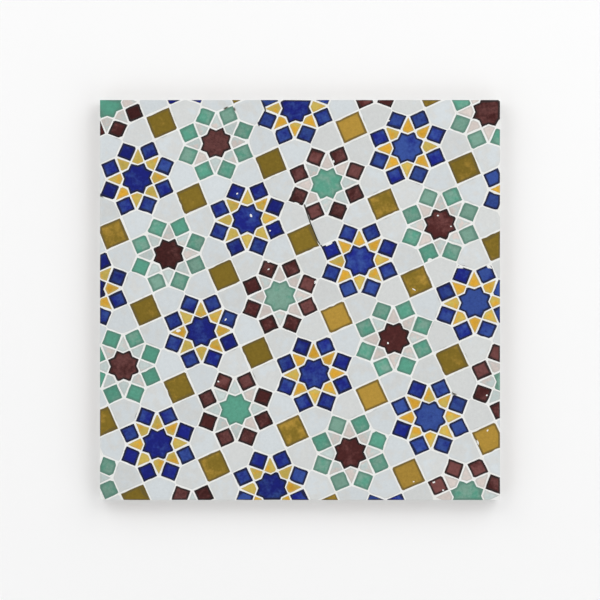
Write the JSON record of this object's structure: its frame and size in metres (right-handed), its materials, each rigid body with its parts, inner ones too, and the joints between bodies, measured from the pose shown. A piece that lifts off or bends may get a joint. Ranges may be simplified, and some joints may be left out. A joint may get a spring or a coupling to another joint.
{
  "type": "mosaic tile panel",
  "caption": "Square panel of hand-cut glazed clay mosaic: eight-pointed stars ringed by kites and small squares, set in a white mortar bed.",
  "frame": {"origin": "centre of the panel's back face", "axes": "+Z out of the back, up through the glazed face; +X right and +Y up as the picture shows the face"},
  "size_m": [0.5, 0.5, 0.025],
  "materials": {
    "blue_glaze": "gloss, uneven hand glaze",
    "maroon_glaze": "gloss, uneven hand glaze",
    "green_glaze": "gloss, uneven hand glaze",
    "amber_glaze": "gloss, uneven hand glaze",
    "ochre_glaze": "gloss, uneven hand glaze",
    "white_glaze": "gloss, uneven hand glaze",
    "pale_glaze": "gloss, uneven hand glaze",
    "mortar": "matt, cast white mortar"
  },
  "bodies": {
    "root": {"blue_stars": "blue_glaze", "blue_squares": "blue_glaze", "maroon_stars": "maroon_glaze", "maroon_squares": "maroon_glaze", "green_stars": "green_glaze", "green_squares": "green_glaze", "amber_kites": "amber_glaze", "pale_kites": "pale_glaze", "ochre_squares": "ochre_glaze", "white_hexagons": "white_glaze", "mortar_bed": "mortar"}
  },
  "joints": []
}
